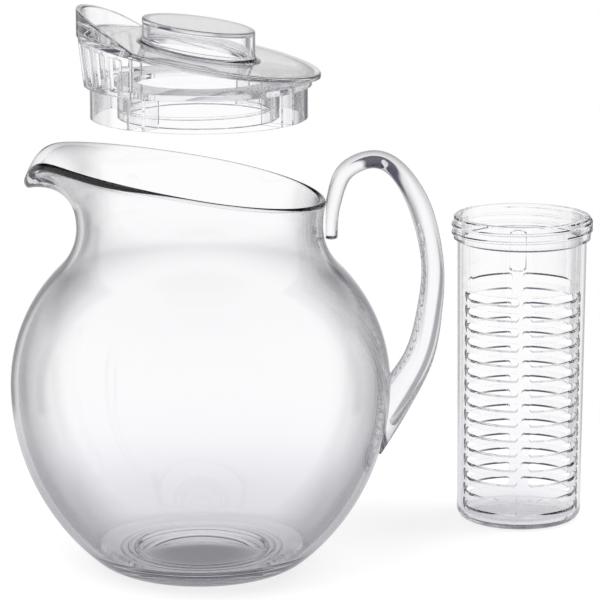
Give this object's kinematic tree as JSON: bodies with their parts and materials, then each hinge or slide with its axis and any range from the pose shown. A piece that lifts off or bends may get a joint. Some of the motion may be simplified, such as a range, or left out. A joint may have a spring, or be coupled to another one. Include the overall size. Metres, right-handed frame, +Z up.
{
  "type": "fruit infusion pitcher",
  "caption": "Clear globe pitcher with a slanted spouted mouth and a strap handle, a lift-off straining lid with a grip cup, and a slotted infuser tube with a threaded rim.",
  "frame": {"origin": "middle of the flat foot that the jug stands on", "axes": "+Z up along the jug's axis, +X towards the handle, -X towards the spout, the infuser stands at +X and +Y"},
  "size_m": [0.2902, 0.2167, 0.2767],
  "materials": {
    "jug_acrylic": "clear, polished, thick-walled",
    "lid_acrylic": "clear, moulded, polished",
    "infuser_acrylic": "clear, moulded, polished"
  },
  "bodies": {
    "pitcher": {"pitcher_body": "jug_acrylic", "pitcher_handle": "jug_acrylic"},
    "lid": {"lid_cover": "lid_acrylic", "lid_grip_cup": "lid_acrylic", "pour_strainer": "lid_acrylic", "lid_base_ring": "lid_acrylic", "infuser_collar": "lid_acrylic"},
    "infuser": {"infuser_tube": "infuser_acrylic"}
  },
  "joints": [
    {"name": "lid_lift", "type": "slide", "parent": "pitcher", "child": "lid", "axis": [0, 0, 1], "range_m": [-0.059, 0.12]},
    {"name": "infuser_lift", "type": "slide", "parent": "pitcher", "child": "infuser", "axis": [0, 0, 1], "range_m": [0, 0.25]}
  ]
}
